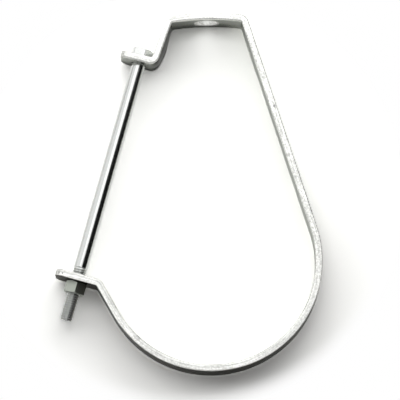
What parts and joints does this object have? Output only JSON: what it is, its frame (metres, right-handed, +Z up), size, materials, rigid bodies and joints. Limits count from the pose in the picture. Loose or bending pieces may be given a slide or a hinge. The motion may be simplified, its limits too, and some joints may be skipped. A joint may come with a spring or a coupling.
{
  "type": "j pipe hanger",
  "caption": "Formed flat steel strap that hangs a pipe from a threaded rod, closed on one side by a long hexagon bolt and nut through two ears.",
  "frame": {"origin": "centre of the rod hole at the middle of the strap's thickness", "axes": "+Z up along the hanging rod, Y along the pipe, X across it with the side bolt towards -X"},
  "size_m": [0.1824, 0.0254, 0.2486],
  "materials": {
    "strap_zinc_plate": "zinc plated hot rolled strap, dull on the sheared edges",
    "fastener_zinc_plate": "bright zinc plated hexagon bolt and nut"
  },
  "bodies": {
    "strap": {"hanger_strap": "strap_zinc_plate"},
    "bolt": {"side_bolt": "fastener_zinc_plate"},
    "nut": {"hex_nut": "fastener_zinc_plate"}
  },
  "joints": [
    {"name": "nut_turn", "type": "hinge", "parent": "strap", "child": "nut", "pos_m": [-0.09177, 0, -0.18209], "axis": [0.2823, 0, 0.9593], "range_deg": [-4320, 0]},
    {"name": "bolt_lift", "type": "slide", "parent": "strap", "child": "bolt", "axis": [0.2823, 0, 0.9593], "range_m": [0, 0.01905]}
  ],
  "couplings": [
    {"joint": "nut_turn", "follows": "bolt_lift", "rad_per_m": -3957.9}
  ]
}
